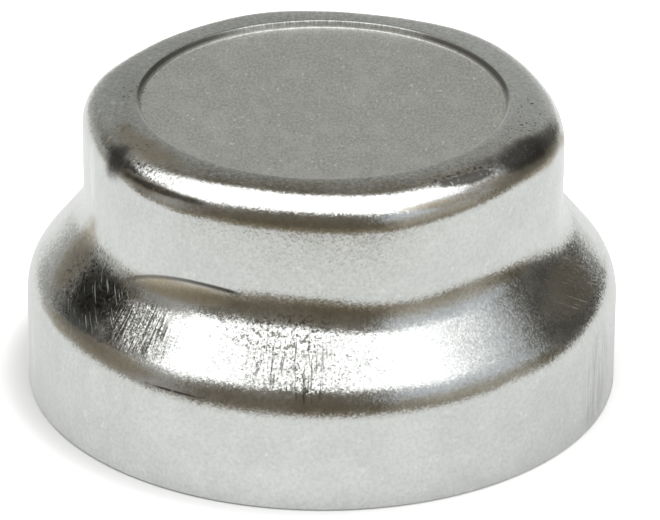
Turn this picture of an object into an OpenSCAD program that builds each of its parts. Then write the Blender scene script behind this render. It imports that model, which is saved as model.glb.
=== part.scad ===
// Screw-on hub grease cap: one pressed sheet-steel shell with a round threaded skirt,
// a rolled shoulder and a hexagonal head that a large spanner turns.
// Millimetres, +Z up, the open end at z = 0. Two flats of the head face +X and -X.

/* [Skirt] */
// Outside radius of the round skirt
skirt_r = 72; // [68:0.5:90]
// Height of the straight skirt
skirt_h = 22.8; // [21:0.1:40]
// Height of the threaded wall, from the open end
thread_h = 20; // [10:0.5:20]
// Bevel on the outer edge of the open end
rim_bevel = 0.6; // [0.2:0.1:1.5]
// Lead-in bevel at the mouth of the thread
lead_bevel = 1.4; // [0.5:0.1:2.5]
// Depth of the groove where the thread runs out, deeper than the thread's root
runout_d = 1.6; // [1.4:0.1:2.2]

/* [Shoulder] */
// Radius of the roll from the skirt into the shoulder
shoulder_r = 13; // [10:0.2:20]
// Lean of the shoulder's slope from upright, in degrees
slope_a = 39.5; // [36:0.5:46]
// Radius of the hollow fillet under the hexagon
neck_r = 13.5; // [12:0.5:20]

/* [Head] */
// Width of the hexagon across its flats, for a 115 mm spanner
flats_w = 114.5; // [108:0.5:118]
// Radius of the bulge of each flat
flat_r = 80; // [70:5:400]
// Radius of the six upright corners
corner_r = 39; // [24:1:46]
// Radius of the roll from the flats into the top
edge_r = 8; // [7:0.1:12]
// Overall height of the cap
cap_h = 73.5; // [68:0.5:90]

/* [Top] */
// Radius of the coined round recess
recess_r = 44.5; // [30:0.5:46]
// Depth of the recess
recess_d = 1.6; // [0.6:0.1:2.5]
// Slope of the recess wall, measured across it
recess_slope = 0.5; // [0.2:0.1:1]

/* [Sheet] */
// Thickness of the pressed sheet
sheet_t = 5.35; // [4:0.05:6.5]

/* [Hidden] */
// Smooth round surfaces
$fn = 144;
// Angles round the hexagon at which its surface is worked out
around_n = 96;
// Steps along the curve of the fillet
fillet_n = 5;
// Steps along the rolled top edge
roll_n = 7;
// Angle at which the fillet runs into the slope
join_a = 6;
// Length of the fillet's straight run into the slope
join_run = 6;
// Radius at which the hexagon's outer surface closes, deep inside the hollow
foot_r = 40;
// Reach of a cut beyond the solid
clear = 1;
// Half of the width across the flats
half_w = flats_w / 2;
// Radius of the threaded wall, at the thread crests
bore_r = skirt_r - sheet_t;
// Middle of the shoulder's roll, from the axis
roll_x = skirt_r - shoulder_r;

// End of the roll outside, where the slope starts
slope_r0 = roll_x + shoulder_r * cos(slope_a);
slope_z0 = skirt_h + shoulder_r * sin(slope_a);
// End of the roll inside
inner_roll = shoulder_r - sheet_t;
inner_r0 = roll_x + inner_roll * cos(slope_a);
inner_z0 = skirt_h + inner_roll * sin(slope_a);

// Radius of the slope at height z, outside and inside
function slope_out(z) = slope_r0 - (z - slope_z0) * tan(slope_a);
function slope_in(z) = inner_r0 - (z - inner_z0) * tan(slope_a);

// A hexagon outline has the half width w, the flat radius f and the corner radius c
function corner_half(w, f, c) = asin(sin(30) * (f - w) / (f - c));
function flat_half(w, f, c) = 30 - corner_half(w, f, c);
function corner_dist(w, f, c) = (w - f) * cos(30) + (f - c) * cos(corner_half(w, f, c));
function tangent_x(w, f, c) = w - f + f * cos(flat_half(w, f, c));
function tangent_y(w, f, c) = f * sin(flat_half(w, f, c));
function tangent_a(w, f, c) = atan2(tangent_y(w, f, c), tangent_x(w, f, c));

// Angle from the middle of the nearest flat, 0 to 30 degrees
function from_flat(a) = abs(((a + 30) % 60) - 30);

// Distance from the axis to the outline at angle a, drawn in by q
function on_flat(w, f, a) = (w - f) * cos(a) + sqrt(f * f - pow((w - f) * sin(a), 2));
function on_corner(d, c, a) = d * cos(30 - a) + sqrt(c * c - pow(d * sin(30 - a), 2));
function outline_r(w, f, c, a) =
    a <= tangent_a(w, f, c) ? on_flat(w, f, a) : on_corner(corner_dist(w, f, c), c, a);
function wall_r(q, a) = outline_r(half_w - q, flat_r - q, corner_r - q, from_flat(a));

// Height at which the fillet meets an upright wall at distance w
function fillet_z(w) =
    slope_z0 + (neck_r * (1 - cos(slope_a)) + (slope_r0 - w) * cos(slope_a)) / sin(slope_a);

// Point of the fillet whose surface leans by t, and a point the run s further down
function fillet_point(w, t, s) = [
    w + neck_r * (1 - cos(t)) + s * sin(t),
    fillet_z(w) - neck_r * sin(t) - s * cos(t)
];
// Point of the rolled edge of radius e, on a wall drawn in by q, whose surface leans by t
function roll_point(q, e, z, t, a) = [wall_r(q + e * (1 - cos(t)), a), z - e + e * sin(t)];

// Rows up the outside of the hexagon at angle a: foot, fillet, wall and rolled edge
fillet_a = slope_a - join_a;
function outer_rows(a) = concat(
    [[foot_r, skirt_h]],
    [fillet_point(wall_r(0, a), fillet_a, join_run)],
    [for (i = [0:fillet_n]) fillet_point(wall_r(0, a), fillet_a * (1 - i / fillet_n), 0)],
    [for (i = [0:roll_n]) roll_point(0, edge_r, cap_h, 90 * i / roll_n, a)]
);

// Rows up the hollow inside it
function inner_rows(a) = concat(
    [[wall_r(sheet_t, a), skirt_h]],
    [for (i = [0:roll_n]) roll_point(sheet_t, edge_r - sheet_t, cap_h - sheet_t, 90 * i / roll_n, a)]
);

// Closed solid from one list of [radius, height] rows for each angle
module loft(columns) {
    n = len(columns);
    m = len(columns[0]);
    points = [
        for (j = [0:n - 1])
            for (q = columns[j])
                [q[0] * cos(360 * j / n), q[0] * sin(360 * j / n), q[1]]
    ];
    bottom = [for (j = [0:n - 1]) j * m];
    top = [for (j = [0:n - 1]) (n - 1 - j) * m + m - 1];
    sides = [
        for (j = [0:n - 1])
            for (i = [0:m - 2])
                for (half = [0:1])
                    half == 0
                        ? [j * m + i, j * m + i + 1, ((j + 1) % n) * m + i + 1]
                        : [j * m + i, ((j + 1) % n) * m + i + 1, ((j + 1) % n) * m + i]
    ];
    polyhedron(points = points, faces = concat([bottom, top], sides), convexity = 6);
}

module hexagon_solid() {
    loft([for (j = [0:around_n - 1]) outer_rows(360 * j / around_n)]);
}

module hexagon_hollow() {
    loft([for (j = [0:around_n - 1]) inner_rows(360 * j / around_n)]);
}

// Half section of the skirt and the roll, outside
module skirt_section() {
    slope_top = fillet_z(half_w) - neck_r * sin(slope_a) + clear;
    difference() {
        square([skirt_r, skirt_h]);
        polygon([
            [skirt_r - rim_bevel, -clear],
            [skirt_r - rim_bevel, 0],
            [skirt_r, rim_bevel],
            [skirt_r + clear, rim_bevel],
            [skirt_r + clear, -clear]
        ]);
    }
    translate([0, skirt_h])
        square([roll_x, slope_z0 - skirt_h]);
    intersection() {
        translate([roll_x, skirt_h])
            circle(r = shoulder_r);
        translate([roll_x, skirt_h])
            square([shoulder_r + clear, slope_z0 - skirt_h]);
    }
    polygon([
        [0, slope_z0],
        [slope_r0, slope_z0],
        [slope_out(slope_top), slope_top],
        [0, slope_top]
    ]);
}

// Half section of the hollow under the neck
module hollow_section() {
    hollow_top = inner_z0 + (inner_r0 - half_w + 2 * sheet_t) / tan(slope_a);
    translate([0, -clear])
        square([bore_r, skirt_h + clear]);
    polygon([
        [0, -clear],
        [bore_r + lead_bevel, -clear],
        [bore_r + lead_bevel, 0],
        [bore_r, lead_bevel],
        [0, lead_bevel]
    ]);
    translate([0, thread_h])
        square([bore_r + runout_d, skirt_h - thread_h]);
    translate([0, skirt_h])
        square([roll_x, inner_z0 - skirt_h]);
    intersection() {
        translate([roll_x, skirt_h])
            circle(r = inner_roll);
        translate([roll_x, skirt_h])
            square([inner_roll + clear, inner_z0 - skirt_h]);
    }
    polygon([
        [0, inner_z0],
        [inner_r0, inner_z0],
        [slope_in(hollow_top), hollow_top],
        [0, hollow_top]
    ]);
}

// Round recess with a sloping wall, coined into the top
module recess_section() {
    polygon([
        [0, cap_h - recess_d],
        [recess_r - recess_slope, cap_h - recess_d],
        [recess_r, cap_h],
        [recess_r, cap_h + clear],
        [0, cap_h + clear]
    ]);
}

module cap() {
    color([0.74, 0.75, 0.74])
        difference() {
            union() {
                rotate_extrude()
                    skirt_section();
                hexagon_solid();
            }
            rotate_extrude()
                hollow_section();
            hexagon_hollow();
            rotate_extrude()
                recess_section();
        }
}

cap();
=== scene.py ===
from collections import namedtuple
import math

import bpy
import numpy as np
from mathutils import Matrix, Vector


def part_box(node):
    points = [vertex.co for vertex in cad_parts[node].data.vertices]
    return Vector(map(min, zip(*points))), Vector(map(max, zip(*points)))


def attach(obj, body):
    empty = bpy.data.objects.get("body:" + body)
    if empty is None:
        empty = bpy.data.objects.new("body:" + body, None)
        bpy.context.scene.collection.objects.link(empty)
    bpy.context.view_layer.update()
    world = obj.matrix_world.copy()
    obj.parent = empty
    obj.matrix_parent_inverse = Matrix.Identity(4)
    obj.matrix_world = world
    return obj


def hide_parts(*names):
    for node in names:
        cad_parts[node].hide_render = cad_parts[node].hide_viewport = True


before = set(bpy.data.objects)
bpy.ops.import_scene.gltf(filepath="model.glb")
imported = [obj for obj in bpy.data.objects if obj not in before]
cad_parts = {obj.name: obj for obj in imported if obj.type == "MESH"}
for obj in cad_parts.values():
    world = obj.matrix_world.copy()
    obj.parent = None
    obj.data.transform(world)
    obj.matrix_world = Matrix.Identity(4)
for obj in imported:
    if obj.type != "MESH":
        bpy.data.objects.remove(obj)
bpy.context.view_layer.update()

# Sizes of the cap, in metres. The overall ones come from the frame.
cap_low, cap_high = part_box("cap")
skirt_r = (cap_high[0] - cap_low[0]) / 2
cap_h = cap_high[2] - cap_low[2]
skirt_h = 0.0228
thread_top = 0.020
thread_pitch = 0.0025
thread_depth = 0.00135
rim_bevel = 0.0006
lead_bevel = 0.0014
runout_d = 0.0016
shoulder_r = 0.013
slope_a = math.radians(39.5)
neck_r = 0.0135
flats_w = 0.1145
flat_r = 0.080
corner_r = 0.039
edge_r = 0.008
recess_r = 0.0445
recess_d = 0.0016
recess_slope = 0.0005
sheet_t = 0.00535
# Radius of the small bends at the foot and the lip of the recess
recess_soft = 0.00045
# Slope of the rim where it meets the rolled edge
rim_fall = math.radians(7)

half_w = flats_w / 2
bore_r = skirt_r - sheet_t
roll_x = skirt_r - shoulder_r
slope_r0 = roll_x + shoulder_r * math.cos(slope_a)
slope_z0 = skirt_h + shoulder_r * math.sin(slope_a)
inner_roll = shoulder_r - sheet_t
inner_r0 = roll_x + inner_roll * math.cos(slope_a)
inner_z0 = skirt_h + inner_roll * math.sin(slope_a)

# Columns round the mesh of the cap, and rings for each turn of the thread
columns_n = 432
turn_rings = 10
# Bends of the mesh sharper than this are shaded as edges
sharp_a = math.radians(38)

# The sheet's unevenness is moved inward by this much, and dies out up to this height
dent_inset = 0.00008
dent_fade_h = 0.004

# The crease on the left front of the neck: its height at its bend, the direction of the bend
# in degrees from the camera's side, and how far it falls for each squared degree, left and right
crease_z = 0.0488
crease_at = -31
crease_falls = (0.000014, 0.000006)
# The hollow under it: its first and last direction and the softness there, its distance under
# the crease, its reach up and down, its depth, and the heights between which it lies
hollow_first = -55
hollow_last = -12
hollow_soft = 9
hollow_drop = 0.0024
hollow_reach = 0.0020
hollow_depth = 0.00013
hollow_low = 0.03
hollow_high = 0.06

# The photograph's camera: its direction round the cap, height, distance and aim
view_turn = math.radians(-17.02)
view_rise = math.radians(26.85)
view_roll = math.radians(0.41)
view_distance = 1.2713
view_focal_px = 5221.5
picture_w = 660
aim_side = 0.0019
aim_up = -0.0058
view_matrix = Matrix.Rotation(view_turn, 3, "Z")


def make_camera():
    """Camera at the photograph's angle, with the picture's centre on its axis."""
    back = view_matrix @ Vector((0, -math.cos(view_rise), math.sin(view_rise)))
    side = view_matrix @ Vector((1, 0, 0))
    up = back.cross(side)
    right = math.cos(view_roll) * side + math.sin(view_roll) * up
    top = -math.sin(view_roll) * side + math.cos(view_roll) * up
    aim = right * aim_side + top * aim_up + Vector((0, 0, skirt_r / 2))
    data = bpy.data.cameras.new("camera")
    data.sensor_width = 36
    data.lens = view_focal_px / picture_w * data.sensor_width
    data.clip_end = 20
    camera = bpy.data.objects.new("camera", data)
    bpy.context.collection.objects.link(camera)
    pose = Matrix((right, top, back)).transposed().to_4x4()
    pose.translation = aim + back * view_distance
    camera.matrix_world = pose
    bpy.context.scene.camera = camera


def outline(width, flat, corner, angle):
    """Distance from the axis to a hexagon of flat arcs and corner arcs, at each angle."""
    sixth = math.pi / 6
    off = np.abs((angle + sixth) % (2 * sixth) - sixth)
    corner_half = math.asin(math.sin(sixth) * (flat - width) / (flat - corner))
    flat_half = sixth - corner_half
    middle = (width - flat) * math.cos(sixth) + (flat - corner) * math.cos(corner_half)
    meet = math.atan2(flat * math.sin(flat_half), width - flat + flat * math.cos(flat_half))
    on_flat = (width - flat) * np.cos(off) + np.sqrt(flat ** 2 - ((width - flat) * np.sin(off)) ** 2)
    side = np.clip(middle * np.sin(sixth - off), -corner, corner)
    on_corner = middle * np.cos(sixth - off) + np.sqrt(corner ** 2 - side ** 2)
    return np.where(off <= meet, on_flat, on_corner)


def wall(inset, angle):
    """Distance from the axis to the hexagon's wall, drawn in by inset."""
    return outline(half_w - inset, flat_r - inset, corner_r - inset, angle)


def fillet_z(wall_r):
    """Height at which the neck's fillet meets an upright wall."""
    drop = neck_r * (1 - math.cos(slope_a)) + (slope_r0 - wall_r) * math.cos(slope_a)
    return slope_z0 + drop / math.sin(slope_a)


def steps(start, end, n):
    """Values from start to end in n equal steps, with both ends."""
    return [start + (end - start) * i / n for i in range(n + 1)]


def outer_rows(angle):
    """Rings down the outside, from the middle of the recess to the open end."""
    full = np.ones_like(angle)
    rows = []
    floor_z = cap_h - recess_d
    foot_r = recess_r - recess_slope
    for share in steps(0.03, 1, 16):
        rows.append((full * (foot_r - recess_soft) * share, full * floor_z))
    for t in steps(0, math.pi / 2, 3)[1:]:
        r = foot_r - recess_soft + recess_soft * math.sin(t)
        rows.append((full * r, full * (floor_z + recess_soft * (1 - math.cos(t)))))
    for t in steps(math.pi / 2, 0, 4):
        r = recess_r + recess_soft - recess_soft * math.sin(t)
        rows.append((full * r, full * (cap_h - recess_soft + recess_soft * math.cos(t))))
    # the rim falls away softly towards the rolled edge
    start = recess_r + recess_soft
    lean = math.pi / 2 - rim_fall
    rim_r = wall(edge_r * (1 - math.cos(lean)), angle)
    fall = (rim_r - start) * math.tan(rim_fall) * 2 / 3
    for share in steps(0, 1, 8)[1:]:
        rows.append((start + (rim_r - start) * share, cap_h - fall * share ** 1.5))
    # rolled edge and upright wall
    roll_z = cap_h - fall - edge_r * math.sin(lean)
    for t in steps(lean, 0, 18)[1:]:
        rows.append((wall(edge_r * (1 - math.cos(t)), angle), roll_z + edge_r * math.sin(t)))
    wall_r = wall(0, angle)
    foot_z = fillet_z(wall_r)
    for share in steps(0, 1, 6)[1:]:
        rows.append((wall_r, roll_z + (foot_z - roll_z) * share))
    # fillet, slope and roll of the shoulder
    for t in steps(0, slope_a, 12)[1:]:
        rows.append((wall_r + neck_r * (1 - math.cos(t)), foot_z - neck_r * math.sin(t)))
    end_r, end_z = rows[-1]
    for share in steps(0, 1, 8)[1:]:
        rows.append((end_r + (slope_r0 - end_r) * share, end_z + (slope_z0 - end_z) * share))
    for t in steps(slope_a, 0, 12)[1:]:
        r = roll_x + shoulder_r * math.cos(t)
        rows.append((full * r, full * (skirt_h + shoulder_r * math.sin(t))))
    # skirt, with its rounded lower edge
    for share in steps(0, 1, 10)[1:]:
        rows.append((full * skirt_r, full * (skirt_h + (rim_bevel - skirt_h) * share)))
    for t in steps(0, math.pi / 2, 3)[1:]:
        r = skirt_r - rim_bevel * (1 - math.cos(t))
        rows.append((full * r, full * rim_bevel * (1 - math.sin(t))))
    return rows


def thread_rows(angle):
    """Rings up the threaded wall. The turns are right hand and run out at both ends."""
    # shares of a turn that the flat crest and the two flanks take
    crest = 0.25
    flank = 0.62
    rows = []
    n = round((thread_top - lead_bevel) / thread_pitch * turn_rings)
    for z in steps(lead_bevel, thread_top, n):
        phase = (z / thread_pitch - angle / (2 * math.pi)) % 1
        depth = np.clip((np.abs(phase - 0.5) * 2 - crest) / flank, 0, 1)
        fade = min(1, (z - lead_bevel) / thread_pitch, (thread_top - z) / thread_pitch)
        rows.append((bore_r + thread_depth * depth * fade, np.ones_like(angle) * z))
    return rows


def inner_rows(angle):
    """Rings of the hollow, from the open end up to the middle of its ceiling."""
    full = np.ones_like(angle)
    rows = [(full * (bore_r + lead_bevel), full * 0)]
    rows += thread_rows(angle)
    # run-out groove, with a soft lower corner
    groove = bore_r + runout_d
    corner = (groove - 0.0004, thread_top + 0.0002)
    for r, z in (corner, (groove, thread_top + 0.0008), (groove, skirt_h - 0.0012)):
        rows.append((full * r, full * z))
    for t in steps(0, slope_a, 8):
        r = roll_x + inner_roll * math.cos(t)
        rows.append((full * r, full * (skirt_h + inner_roll * math.sin(t))))
    # the slope stops a little short of the wall, so its bend is soft
    inner_wall = wall(sheet_t, angle)
    bend_z = inner_z0 + (inner_r0 - inner_wall) / math.tan(slope_a)
    for share in steps(0, 0.93, 5)[1:]:
        r = inner_r0 + (inner_wall - inner_r0) * share
        rows.append((r, inner_z0 + (bend_z - inner_z0) * share))
    ceiling = cap_h - sheet_t
    roll = edge_r - sheet_t
    start_z = bend_z + 0.001
    for share in steps(0, 1, 5):
        rows.append((inner_wall, start_z + (ceiling - roll - start_z) * share))
    for t in steps(0, math.pi / 2, 8)[1:]:
        r = wall(sheet_t + roll * (1 - math.cos(t)), angle)
        rows.append((r, full * (ceiling - roll * (1 - math.sin(t)))))
    top_r = rows[-1][0]
    for share in steps(1, 0.04, 8)[1:]:
        rows.append((top_r * share, full * ceiling))
    return rows


def ripples(points, seed, size, height, waves=9):
    """Soft unevenness of the pressed sheet: a sum of waves in fixed random directions."""
    rng = np.random.default_rng(seed)
    total = np.zeros(points.shape[:-1])
    for _ in range(waves):
        direction = rng.normal(size=3)
        direction /= np.linalg.norm(direction)
        length = size * rng.uniform(0.7, 1.5)
        phase = rng.uniform(0, 2 * math.pi)
        total += np.sin(points @ direction * (2 * math.pi / length) + phase)
    return total * height / math.sqrt(waves)


def surface_normals(points):
    """Outward direction of each point of a ring-by-column grid."""
    along = np.gradient(points, axis=0)
    around = np.roll(points, -1, 1) - np.roll(points, 1, 1)
    normal = np.cross(along, around)
    length = np.linalg.norm(normal, axis=2, keepdims=True)
    return normal / np.maximum(length, 1e-12)


def neck_crease(grid):
    """Shallow hollow under a bent crease, where the left front flat runs into the shoulder."""
    # direction from the camera's side, from -180 to 180 degrees
    turned = np.degrees(np.arctan2(grid[..., 1], grid[..., 0]) - view_turn) + 90
    turned = (turned + 180) % 360 - 180
    height = grid[..., 2]
    crease = crease_z - np.where(turned < crease_at, *crease_falls) * (turned - crease_at) ** 2
    below = crease - height
    rise = np.clip((turned - hollow_first) / hollow_soft, 0, 1)
    fall = np.clip((hollow_last - turned) / hollow_soft, 0, 1)
    span = rise * fall
    span = span * span * (3 - 2 * span)
    bowl = np.exp(-((below - hollow_drop) / hollow_reach) ** 2)
    return -hollow_depth * bowl * span * (height > hollow_low) * (height < hollow_high)


def make_cap():
    """The whole shell as one closed mesh of rings, outside and inside."""
    angle = np.arange(columns_n) * 2 * math.pi / columns_n
    outside = outer_rows(angle)
    rings = outside + inner_rows(angle)
    points = np.array([np.stack([r * np.cos(angle), r * np.sin(angle), z], 1) for r, z in rings])
    outer_n = len(outside)
    grid = points[:outer_n]
    normal = surface_normals(grid)
    dent = ripples(grid, seed=5, size=0.022, height=0.00004)
    dent += ripples(grid, seed=8, size=0.009, height=0.000012)
    dent += neck_crease(grid)
    fade = np.clip(grid[..., 2] / dent_fade_h, 0, 1)
    grid += normal * ((dent - dent_inset) * fade)[..., None]
    rows_n = len(rings)
    vertices = np.vstack([points.reshape(-1, 3), points[0].mean(0), points[-1].mean(0)])
    index = np.arange(rows_n * columns_n).reshape(rows_n, columns_n)
    right = np.roll(index, -1, 1)
    quads = np.stack([index[:-1], index[1:], right[1:], right[:-1]], 2).reshape(-1, 4)
    first, last = rows_n * columns_n, rows_n * columns_n + 1
    fans = [(first, index[0, j], right[0, j]) for j in range(columns_n)]
    fans += [(last, right[-1, j], index[-1, j]) for j in range(columns_n)]
    mesh = bpy.data.meshes.new("cap_shell")
    mesh.from_pydata(vertices.tolist(), [], quads.tolist() + [tuple(map(int, f)) for f in fans])
    mesh.validate()
    # the second plating covers the hollow, from the open end's last outer ring on
    inside = np.zeros(len(mesh.polygons), dtype=np.int32)
    inside[(outer_n - 1) * columns_n:] = 1
    inside[len(quads):len(quads) + columns_n] = 0
    mesh.polygons.foreach_set("material_index", inside)
    mesh.shade_smooth()
    mesh.set_sharp_from_angle(angle=sharp_a)
    shell = bpy.data.objects.new("cap_shell", mesh)
    bpy.context.collection.objects.link(shell)
    return shell


class Nodes:
    """Short calls that add nodes to one tree and link them. A colour is given as three numbers."""

    def __init__(self, tree):
        self.tree = tree
        tree.nodes.clear()

    def add(self, kind, settings=(), **inputs):
        node = self.tree.nodes.new(kind)
        for key, value in dict(settings).items():
            setattr(node, key, value)
        for key, value in inputs.items():
            self.put(node, key.replace("_", " "), value)
        return node

    def put(self, node, key, value):
        """Give an input, by its name or number, a link or a value."""
        socket = node.inputs[int(key)] if key.isdigit() else node.inputs[key]
        if isinstance(value, bpy.types.NodeSocket):
            self.tree.links.new(value, socket)
        elif socket.type == "RGBA":
            socket.default_value = (*value, 1)
        else:
            socket.default_value = value

    def math(self, operation, *values):
        node = self.add("ShaderNodeMath", {"operation": operation})
        for i, value in enumerate(values):
            self.put(node, str(i), value)
        return node.outputs[0]

    def in_turn(self, operation, first, others):
        for other in others:
            first = self.math(operation, first, other)
        return first

    def times(self, first, *others):
        return self.in_turn("MULTIPLY", first, others)

    def plus(self, first, *others):
        return self.in_turn("ADD", first, others)

    def larger(self, first, *others):
        return self.in_turn("MAXIMUM", first, others)

    def minus(self, a, b):
        return self.math("SUBTRACT", a, b)

    def over(self, a, b):
        return self.math("DIVIDE", a, b)

    def vector(self, operation, *values, **inputs):
        """Node of one vector operation."""
        node = self.add("ShaderNodeVectorMath", {"operation": operation}, **inputs)
        for i, value in enumerate(values):
            self.put(node, str(i), value)
        return node

    def along(self, vector, way):
        """How far a vector reaches in a direction that is given as the camera's side sees it."""
        return self.vector("DOT_PRODUCT", vector, view_matrix @ Vector(way)).outputs["Value"]

    def bearings(self, vector):
        """A vector's reach to the right, to the front and up, and its direction in degrees."""
        right = self.along(vector, (1, 0, 0))
        front = self.along(vector, (0, -1, 0))
        up = self.along(vector, (0, 0, 1))
        return right, front, up, self.times(self.math("ARCTAN2", right, front), 180 / math.pi)

    def combine(self, x, y, z):
        return self.add("ShaderNodeCombineXYZ", X=x, Y=y, Z=z).outputs[0]

    def noise(self, vector, scale, detail, roughness):
        node = self.add("ShaderNodeTexNoise", Vector=vector, Scale=scale)
        self.put(node, "Detail", detail)
        self.put(node, "Roughness", roughness)
        return node.outputs["Fac"]

    def ramp(self, value, low, high, to_low=0.0, to_high=1.0):
        """Smooth step of value from to_low at low to to_high at high."""
        node = self.add("ShaderNodeMapRange", {"interpolation_type": "SMOOTHSTEP"}, Value=value)
        ends = {"From Min": low, "From Max": high, "To Min": to_low, "To Max": to_high}
        for key, item in ends.items():
            self.put(node, key, item)
        return node.outputs[0]

    def window(self, value, low, high, soft_low, soft_high):
        """1 between low and high, falling off over soft_low and soft_high outside."""
        rise = self.ramp(value, low - soft_low, low)
        fall = self.ramp(value, high, high + soft_high, 1.0, 0.0)
        return self.times(rise, fall)

    def mix(self, factor, a, b):
        """Colour between a and b."""
        node = self.add("ShaderNodeMix", {"data_type": "RGBA"})
        for i, value in ((0, factor), (6, a), (7, b)):
            self.put(node, str(i), value)
        return node.outputs[2]

    def blend(self, factor, a, b):
        """Number between a and b."""
        node = self.add("ShaderNodeMix", {"data_type": "FLOAT"})
        for i, value in ((0, factor), (2, a), (3, b)):
            self.put(node, str(i), value)
        return node.outputs[0]


# Colours of the clean zinc: its clouds, flecks and specks, and the painted paler reflection on the
# right of the top
cloud_dim = (0.60, 0.614, 0.60)
cloud_pale = (0.66, 0.674, 0.66)
fleck_tone = (0.71, 0.718, 0.71)
speck_tone = (0.34, 0.34, 0.32)
painted_top_sheen = (0.77, 0.785, 0.785)
# Colours of the matt recess, of the painted highlight on its front lip and the painted shade on its
# back step, and of the rim round it
matt_dim = (0.40, 0.405, 0.38)
matt_pale = (0.60, 0.60, 0.575)
matt_cloud = (0.66, 0.665, 0.64)
matt_fleck = (0.80, 0.80, 0.78)
painted_lip_highlight = (0.82, 0.82, 0.80)
painted_step_shade = (0.11, 0.107, 0.095)
rim_speck = (0.33, 0.33, 0.31)
rim_fleck = (0.84, 0.85, 0.84)

# Marks on the zinc, in the order in which they are laid on. The brown and tan marks, the dark and black
# patches and the crease's line are painted reflections and painted shade. The speckled marks are partly
# painted dark reflection and partly specks on the plating. The pits, scratches and hairs are the
# plating's own. Each kind has the raggedness of its edges, the texture that breaks it up, that
# texture's values at two ends and the shares there, how strongly it colours, its colour, and its
# places. A place on the outside is given by its direction from the camera's side, in degrees, and by
# its step down the profile: height less distance from the axis, in millimetres. Each place has both,
# its half span of each, and how much the step rises for each degree. The crease has a line of its own
# and no places.
MarkKind = namedtuple("MarkKind", "ragged texture low high at_low at_high strength tone places")
wear_and_painted_light = {
    # brown: painted brown reflection that darkens the borders of the highlights on the head's edge and
    # on the shoulder
    "brown": MarkKind(1.4, "speck", 0.35, 0.60, 0.45, 0.80, 1.0, (0.33, 0.275, 0.185), [
        (-47, 11.8, 20, 2.2, 0.02),
        (-56, 22.5, 15, 4.5, 0.0),
        (60, 12.0, 22, 3.0, -0.12),
        (30, 13.0, 12, 1.6, 0.0),
        (67, -29, 12, 11, 0.0),
        (-52, -41.5, 22, 3.0, 0.0),
        (-72, -22, 7, 14, 0.0),
    ]),
    # tan: painted tan reflection on the hollow under the neck's crease
    "tan": MarkKind(0.5, "speck", 0.30, 0.60, 0.6, 0.95, 1.0, (0.42, 0.36, 0.26), [
        (-34, -13.2, 15, 3.2, 0.10),
    ]),
    # crease: painted shade along the neck's crease
    "crease": MarkKind(0.0, "direction", -45, -24, 0.65, 0.97, 1.0, (0.07, 0.064, 0.054), []),
    # dark: painted dark reflection on the head's front corners and the shoulder's left
    "dark": MarkKind(1.0, "speck", 0.0, 1.0, 0.6, 0.6, 1.0, (0.12, 0.115, 0.10), [
        (-57, -26, 9, 9, 0.0),
        (-60, 14, 6, 7, 0.0),
        (60, 17.6, 13, 5.0, -0.12),
    ]),
    # black: painted black reflection on the head's corners and along the lower border of its highlight,
    # and a thin dark line low on the shoulder's left
    "black": MarkKind(1.4, "speck", 0.76, 0.56, 0.0, 1.0, 0.92, (0.06, 0.056, 0.048), [
        (-60, 14, 4.8, 6.0, 0.0),
        (59, 17.6, 14, 5.0, -0.12),
        (40, 18.5, 12, 2.2, -0.10),
        (-41, 12.0, 17, 1.5, 0.02),
        (-28, -44.9, 7, 0.5, 0.0),
    ]),
    # speckled: dark specks, painted dark reflection at the borders of the highlights and round the
    # shoulder's left patch, and specks on the plating in the shoulder's middle
    "speckled": MarkKind(1.2, "speck", 0.49, 0.41, 0.0, 1.0, 0.88, (0.12, 0.11, 0.095), [
        (-8, -21, 12, 8, 0.0),
        (40, 19.5, 14, 3.0, -0.1),
        (-62, -24, 12, 12, 0.0),
        (-47, 16, 12, 3, 0.0),
    ]),
    "faint": MarkKind(0.8, "streak", 0.56, 0.42, 0.0, 1.0, 0.45, (0.30, 0.29, 0.265), [
        (68, -60, 8, 14, 0.0),
    ]),
    "pitted": MarkKind(1.2, "speck", 0.57, 0.65, 0.0, 1.0, 1.0, (0.10, 0.09, 0.075), [
        (-92, 26.6, 16, 2.6, 0.0),
        (-62, 22, 14, 4, 0.0),
        (75, 23, 20, 4, 0.0),
    ]),
    "streaked": MarkKind(1.2, "streak", 0.48, 0.40, 0.0, 1.0, 0.85, (0.13, 0.125, 0.11), [
        (-41, -29, 10, 9, 0.0),
        (-6, -31, 10, 12, 0.0),
    ]),
    "hairy": MarkKind(1.0, "hair", 0.60, 0.68, 0.0, 1.0, 1.0, (0.78, 0.79, 0.79), [
        (-58, -27, 11, 12, 0.0),
        (70, -30, 12, 12, 0.0),
    ]),
    "pale": MarkKind(0.8, "streak", 0.40, 0.55, 0.0, 1.0, 1.0, (0.78, 0.79, 0.79), [
        (-74, 3, 2.2, 9, 0.0),
        (-76.5, -58, 1.2, 8, -0.7),
    ]),
}
# A mark is full up to the first of these shares of its half spans, and gone at the second
mark_full = 0.55
mark_gone = 1.2


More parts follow.
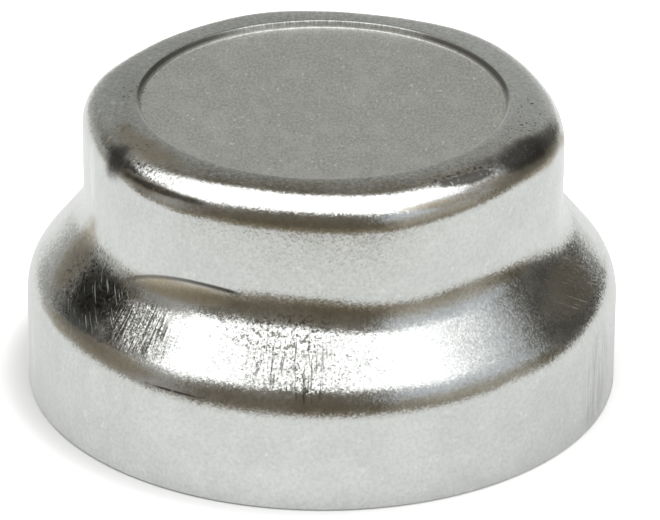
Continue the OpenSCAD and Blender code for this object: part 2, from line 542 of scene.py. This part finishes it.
class Zinc(Nodes):
    """Nodes of one plating, with the places and textures that its looks are made from."""

    def __init__(self, tree):
        super().__init__(tree)
        self.where = self.add("ShaderNodeTexCoord").outputs["Object"]
        self.right, self.front, self.height, self.direction = self.bearings(self.where)
        squares = self.plus(self.times(self.right, self.right), self.times(self.front, self.front))
        self.radius = self.math("SQRT", squares)
        self.step = self.times(self.minus(self.height, self.radius), 1000)
        self.coarse = self.noise(self.where, 90.0, 4.0, 0.6)
        self.fleck = self.noise(self.where, 420.0, 3.0, 0.7)
        self.speck = self.noise(self.where, 1100.0, 3.0, 0.65)
        self.grain = self.noise(self.where, 2300.0, 2.0, 0.6)
        self.cloud = self.ramp(self.coarse, 0.35, 0.68)
        self.add_lines()
        self.add_top()

    def add_lines(self):
        """Textures of fine upright streaks, about 85 to the radian, and of slanting hairs."""
        per_radian = 85
        away = self.math("MAXIMUM", self.radius, 0.001)
        round_x = self.times(self.over(self.right, away), per_radian)
        round_y = self.times(self.over(self.front, away), per_radian)
        upright = self.combine(round_x, round_y, self.times(self.step, 0.07))
        self.streak = self.noise(upright, 1.0, 3.0, 0.6)
        slant = self.plus(self.times(self.direction, 1.5), self.times(self.step, 1.1))
        run = self.minus(self.times(self.step, 0.05), self.times(self.direction, 0.06))
        self.hair = self.noise(self.combine(slant, run, 0.0), 1.0, 2.0, 0.55)

    def add_top(self):
        """Shares of the surface taken by the top, its recess, the recess's lip and its back step."""
        edge = 0.0002
        self.top = self.ramp(self.height, cap_h - 0.004, cap_h - 0.003)
        inside = self.ramp(self.radius, recess_r - 0.0004, recess_r + 0.0001, 1.0, 0.0)
        self.recess = self.times(inside, self.top)
        lip = self.window(self.radius, recess_r - 0.0002, recess_r + 0.0003, edge, edge)
        self.lip = self.times(self.top, lip)
        ring = self.window(self.radius, recess_r - 0.0006, recess_r + 0.0003, edge, edge)
        self.back_step = self.times(self.top, ring, self.ramp(self.front, 0.01, -0.01))


def plating_colour(z):
    """Colour of the clean plating. Its top has a painted paler reflection at the right."""
    colour = z.mix(z.cloud, cloud_dim, cloud_pale)
    colour = z.mix(z.ramp(z.fleck, 0.55, 0.75), colour, fleck_tone)
    colour = z.mix(z.ramp(z.speck, 0.60, 0.35, 0.0, 0.22), colour, speck_tone)
    # painted paler reflection on the right of the top
    return z.mix(z.times(z.top, z.ramp(z.right, -0.01, 0.05)), colour, painted_top_sheen)


def add_top_colour(z, colour):
    """Lay the matt recess, the rim's flecks, the painted highlight of the front lip and the painted
    shade of the back step over it.
    """
    drawn = z.combine(z.right, z.times(z.front, 0.5), z.height)
    matt = z.mix(z.ramp(z.noise(drawn, 1700.0, 3.0, 0.65), 0.30, 0.70), matt_dim, matt_pale)
    matt = z.mix(z.ramp(z.noise(drawn, 260.0, 3.0, 0.6), 0.42, 0.70, 0.0, 0.35), matt, matt_cloud)
    matt = z.mix(z.ramp(z.noise(drawn, 900.0, 2.0, 0.5), 0.66, 0.74, 0.0, 0.7), matt, matt_fleck)
    colour = z.mix(z.recess, colour, matt)
    rim = z.times(z.top, z.minus(1.0, z.recess))
    colour = z.mix(z.times(rim, z.ramp(z.speck, 0.58, 0.38, 0.0, 0.35)), colour, rim_speck)
    colour = z.mix(z.times(rim, z.ramp(z.fleck, 0.58, 0.70, 0.0, 0.7)), colour, rim_fleck)
    # painted highlight along the front lip of the recess
    colour = z.mix(z.times(z.lip, z.ramp(z.front, 0.0, 0.02)), colour, painted_lip_highlight)
    # the painted shade on the step is dark in its upper part, and its middle is left pale with dark
    # streaks
    middle = z.ramp(z.math("ABSOLUTE", z.direction), 140, 158)
    middle = z.times(middle, z.ramp(z.streak, 0.34, 0.60, 0.55, 1.0))
    upper = z.ramp(z.height, cap_h - 0.0013, cap_h - 0.0008, 0.25, 1.0)
    dark = z.times(z.back_step, z.minus(1.0, middle), upper)
    return z.mix(z.times(dark, 0.9), colour, painted_step_shade)


def crease_line(z):
    """Share of the surface taken by the painted shade line along the neck's crease."""
    fall = z.blend(z.math("GREATER_THAN", z.direction, crease_at), -crease_falls[0], -crease_falls[1])
    line = z.times(z.math("POWER", z.plus(z.direction, -crease_at), 2), fall)
    above = z.minus(z.height, z.plus(line, crease_z))
    return z.times(z.window(above, -0.0003, 0.0, 0.0008, 0.0005), z.window(z.direction, -46, -22, 7, 5))


def marks(z, mark_kind):
    """Share of the surface taken by one kind of marks, which have ragged edges."""
    total = 0.0
    for middle, place, half_span, half_drop, tilt in mark_kind.places:
        off = z.minus(z.direction, middle)
        drop = z.minus(z.minus(z.step, place), z.times(off, tilt))
        across = z.math("POWER", z.over(off, half_span), 2)
        down = z.math("POWER", z.over(drop, half_drop), 2)
        reach = z.math("SQRT", z.plus(across, down))
        reach = z.plus(reach, z.times(z.minus(z.coarse, 0.5), mark_kind.ragged))
        total = z.larger(total, z.ramp(reach, mark_full, mark_gone, 1.0, 0.0))
    return total


def add_wear(z, colour):
    """Lay each kind of mark over the colour: pits and scratches, and painted reflections and shade.
    Also gives each kind's area, whole and broken up.
    """
    textures = {"speck": z.speck, "streak": z.streak, "hair": z.hair, "direction": z.direction}
    areas = {}
    shares = {}
    for kind, mark_kind in wear_and_painted_light.items():
        areas[kind] = crease_line(z) if kind == "crease" else marks(z, mark_kind)
        broken = z.ramp(textures[mark_kind.texture], mark_kind.low, mark_kind.high, mark_kind.at_low, mark_kind.at_high)
        shares[kind] = z.times(areas[kind], broken)
        colour = z.mix(z.times(shares[kind], mark_kind.strength), colour, mark_kind.tone)
    return colour, areas, shares


def make_zinc(name, with_marks):
    """Bright zinc plating on pressed steel, with fine grain. Plating with marks also has pits and
    scratches, and painted reflections and shade.
    """
    material = bpy.data.materials.new(name)
    material.use_nodes = True
    z = Zinc(material.node_tree)
    colour = add_top_colour(z, plating_colour(z))
    areas = shares = dict.fromkeys(wear_and_painted_light, 0.0)
    if with_marks:
        colour, areas, shares = add_wear(z, colour)

    rough = z.blend(z.cloud, 0.17, 0.24)
    rough = z.blend(z.larger(z.lip, z.recess, z.back_step), rough, 0.5)
    rough = z.blend(z.larger(shares["black"], shares["hairy"], shares["brown"]), rough, 0.42)
    rough = z.blend(areas["tan"], rough, 0.38)
    relief = z.plus(z.times(z.grain, 0.00002), z.times(z.speck, 0.000025), z.times(z.fleck, 0.000012))
    relief = z.plus(relief, z.times(z.streak, areas["streaked"], 0.00012))
    relief = z.times(relief, z.blend(z.recess, 1.0, 0.35))
    # each crystal of the zinc tilts its own way
    cells = z.add("ShaderNodeTexVoronoi", Vector=z.where, Scale=2400.0, Randomness=1.0)
    tilt = z.vector("SUBTRACT", cells.outputs["Color"], (0.5, 0.5, 0.5)).outputs[0]
    most = z.blend(z.larger(areas["streaked"], areas["hairy"]), 0.07, 0.13)
    tilt = z.vector("SCALE", tilt, Scale=most).outputs[0]
    faced = z.vector("ADD", z.add("ShaderNodeNewGeometry").outputs["Normal"], tilt).outputs[0]
    facet = z.vector("NORMALIZE", faced).outputs[0]
    bump = z.add("ShaderNodeBump", Strength=1.0, Distance=1.0, Height=relief, Normal=facet)
    shader = z.add("ShaderNodeBsdfPrincipled", Base_Color=colour, Metallic=1.0, Roughness=rough)
    z.put(shader, "Normal", bump.outputs[0])
    z.add("ShaderNodeOutputMaterial", Surface=shader.outputs[0])
    return material


# The round table top, in metres
table_r = 0.85
table_z = -0.0001
# The part of it that the cap mirrors as pale: how far back its middle lies, its radius and its
# soft edge
pale_back = 0.27
pale_r = 0.44
pale_soft = 0.10
table_pale = (0.8, 0.805, 0.80)
table_brown = (0.20, 0.165, 0.11)
table_glow = (1.0, 0.995, 0.985)


def make_floor():
    """Pale round table top. Its colour is white to the camera, and it keeps the cap's shadow."""
    place = (0, 0, table_z)
    bpy.ops.mesh.primitive_circle_add(vertices=128, radius=table_r, fill_type="NGON", location=place)
    floor = bpy.context.object
    floor.name = "table_top"
    material = bpy.data.materials.new("table_white")
    material.use_nodes = True
    n = Nodes(material.node_tree)
    ray = n.add("ShaderNodeLightPath")
    where = n.add("ShaderNodeTexCoord").outputs["Object"]
    reach = n.vector("DISTANCE", where, view_matrix @ Vector((0, pale_back, 0))).outputs["Value"]
    near = n.ramp(reach, pale_r, pale_r + pale_soft, 1.0, 0.0)
    direct = ray.outputs["Is Camera Ray"]
    # the glow for the camera is weaker at the cap's left, which paints shadow on the table there along
    # with the cap's own shadow, and the table is pure white further out
    lift = n.ramp(n.along(where, (1, 0, 0)), -0.08, 0.08, 0.0, 0.30)
    lift = n.plus(lift, n.ramp(n.vector("LENGTH", where).outputs["Value"], 0.073, 0.083, 0.0, 0.3))
    mirrored = n.times(ray.outputs["Is Glossy Ray"], near)
    strength = n.plus(n.times(direct, lift), n.times(mirrored, 0.05))
    colour = n.mix(n.larger(near, direct), table_brown, table_pale)
    both = n.add("ShaderNodeAddShader")
    n.put(both, "0", n.add("ShaderNodeBsdfDiffuse", Color=colour).outputs[0])
    n.put(both, "1", n.add("ShaderNodeEmission", Color=table_glow, Strength=strength).outputs[0])
    n.add("ShaderNodeOutputMaterial", Surface=both.outputs[0])
    floor.data.materials.append(material)


# Colours of the dim room, low down and high up, and of its back wall
room_low = (0.14, 0.115, 0.078)
room_high = (0.17, 0.15, 0.115)
back_wall = (0.40, 0.405, 0.385)
# Pale and dark cards round the studio. Each has its span of direction from the camera's side and
# of height, both in degrees and followed by the softness of its edges, and its colour.
cards = [
    (-190, -104, 10, -30, 4, 8, (0.50, 0.50, 0.48)),
    (138, 190, 12, -30, 5, 8, (0.54, 0.54, 0.52)),
    (-80, -62, 16, -30, 30, 10, (0.40, 0.385, 0.36)),
    (42, 74, 22, -30, 18, 14, (0.46, 0.42, 0.345)),
    (38, 82, 22, 24, 60, 16, (0.72, 0.75, 0.79)),
    (-122, -104, 10, 13, 30, 8, (0.03, 0.03, 0.028)),
    (106, 142, 12, 3, 48, 9, (0.08, 0.075, 0.063)),
]
# The warm edge of the overhead light, and the light itself, which is laid over it. Each has its
# span to the right and its span to the front, on a plane at height 1 and with the softness of
# both ends, its strength and its colour. The ends of the spans to the front run at a slant.
lights = [
    ((-1.35, 0.8, 0.25, 0.9), (-0.62, 0.98, 0.12, 0.12), 0.55, (0.36, 0.31, 0.23)),
    ((-1.15, 0.6, 0.30, 0.9), (-0.45, 0.84, 0.12, 0.10), 1.0, (2.3, 2.31, 2.33)),
]
light_slant = 0.12


def make_studio():
    """A dim brown room with a wide overhead light, a grey back wall and a few cards at the sides."""
    world = bpy.data.worlds.new("studio")
    world.use_nodes = True
    bpy.context.scene.world = world
    n = Nodes(world.node_tree)
    right, front, up, direction = n.bearings(n.add("ShaderNodeTexCoord").outputs["Generated"])
    rise = n.times(n.math("ARCSINE", up), 180 / math.pi)
    colour = n.mix(n.ramp(rise, -5, 50), room_low, room_high)
    behind = n.ramp(n.math("ABSOLUTE", direction), 120, 155)
    colour = n.mix(n.times(behind, n.window(rise, -10, 29, 10, 9)), colour, back_wall)
    for first, last, side_soft, low, high, edge_soft, tone in cards:
        across = n.window(direction, first, last, side_soft, side_soft)
        card = n.times(across, n.window(rise, low, high, edge_soft, edge_soft))
        colour = n.mix(card, colour, tone)
    height = n.math("MAXIMUM", up, 0.001)
    across = n.over(right, height)
    ahead = n.minus(n.over(front, height), n.times(across, light_slant))
    for side_span, front_span, strength, tone in lights:
        spans = n.times(n.window(across, *side_span), n.window(ahead, *front_span))
        colour = n.mix(n.times(spans, strength), colour, tone)
    # the camera itself sees a white background
    seen = n.add("ShaderNodeLightPath").outputs["Is Camera Ray"]
    colour = n.mix(seen, colour, (1, 1, 1))
    light = n.add("ShaderNodeBackground", Color=colour, Strength=1.0)
    n.add("ShaderNodeOutputWorld", Surface=light.outputs[0])


bpy.context.scene.view_settings.view_transform = "Standard"
make_camera()
make_studio()
make_floor()
cap = make_cap()
cap.data.materials.append(make_zinc("zinc", True))
cap.data.materials.append(make_zinc("zinc_inside", False))
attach(cap, "root")
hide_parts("cap")
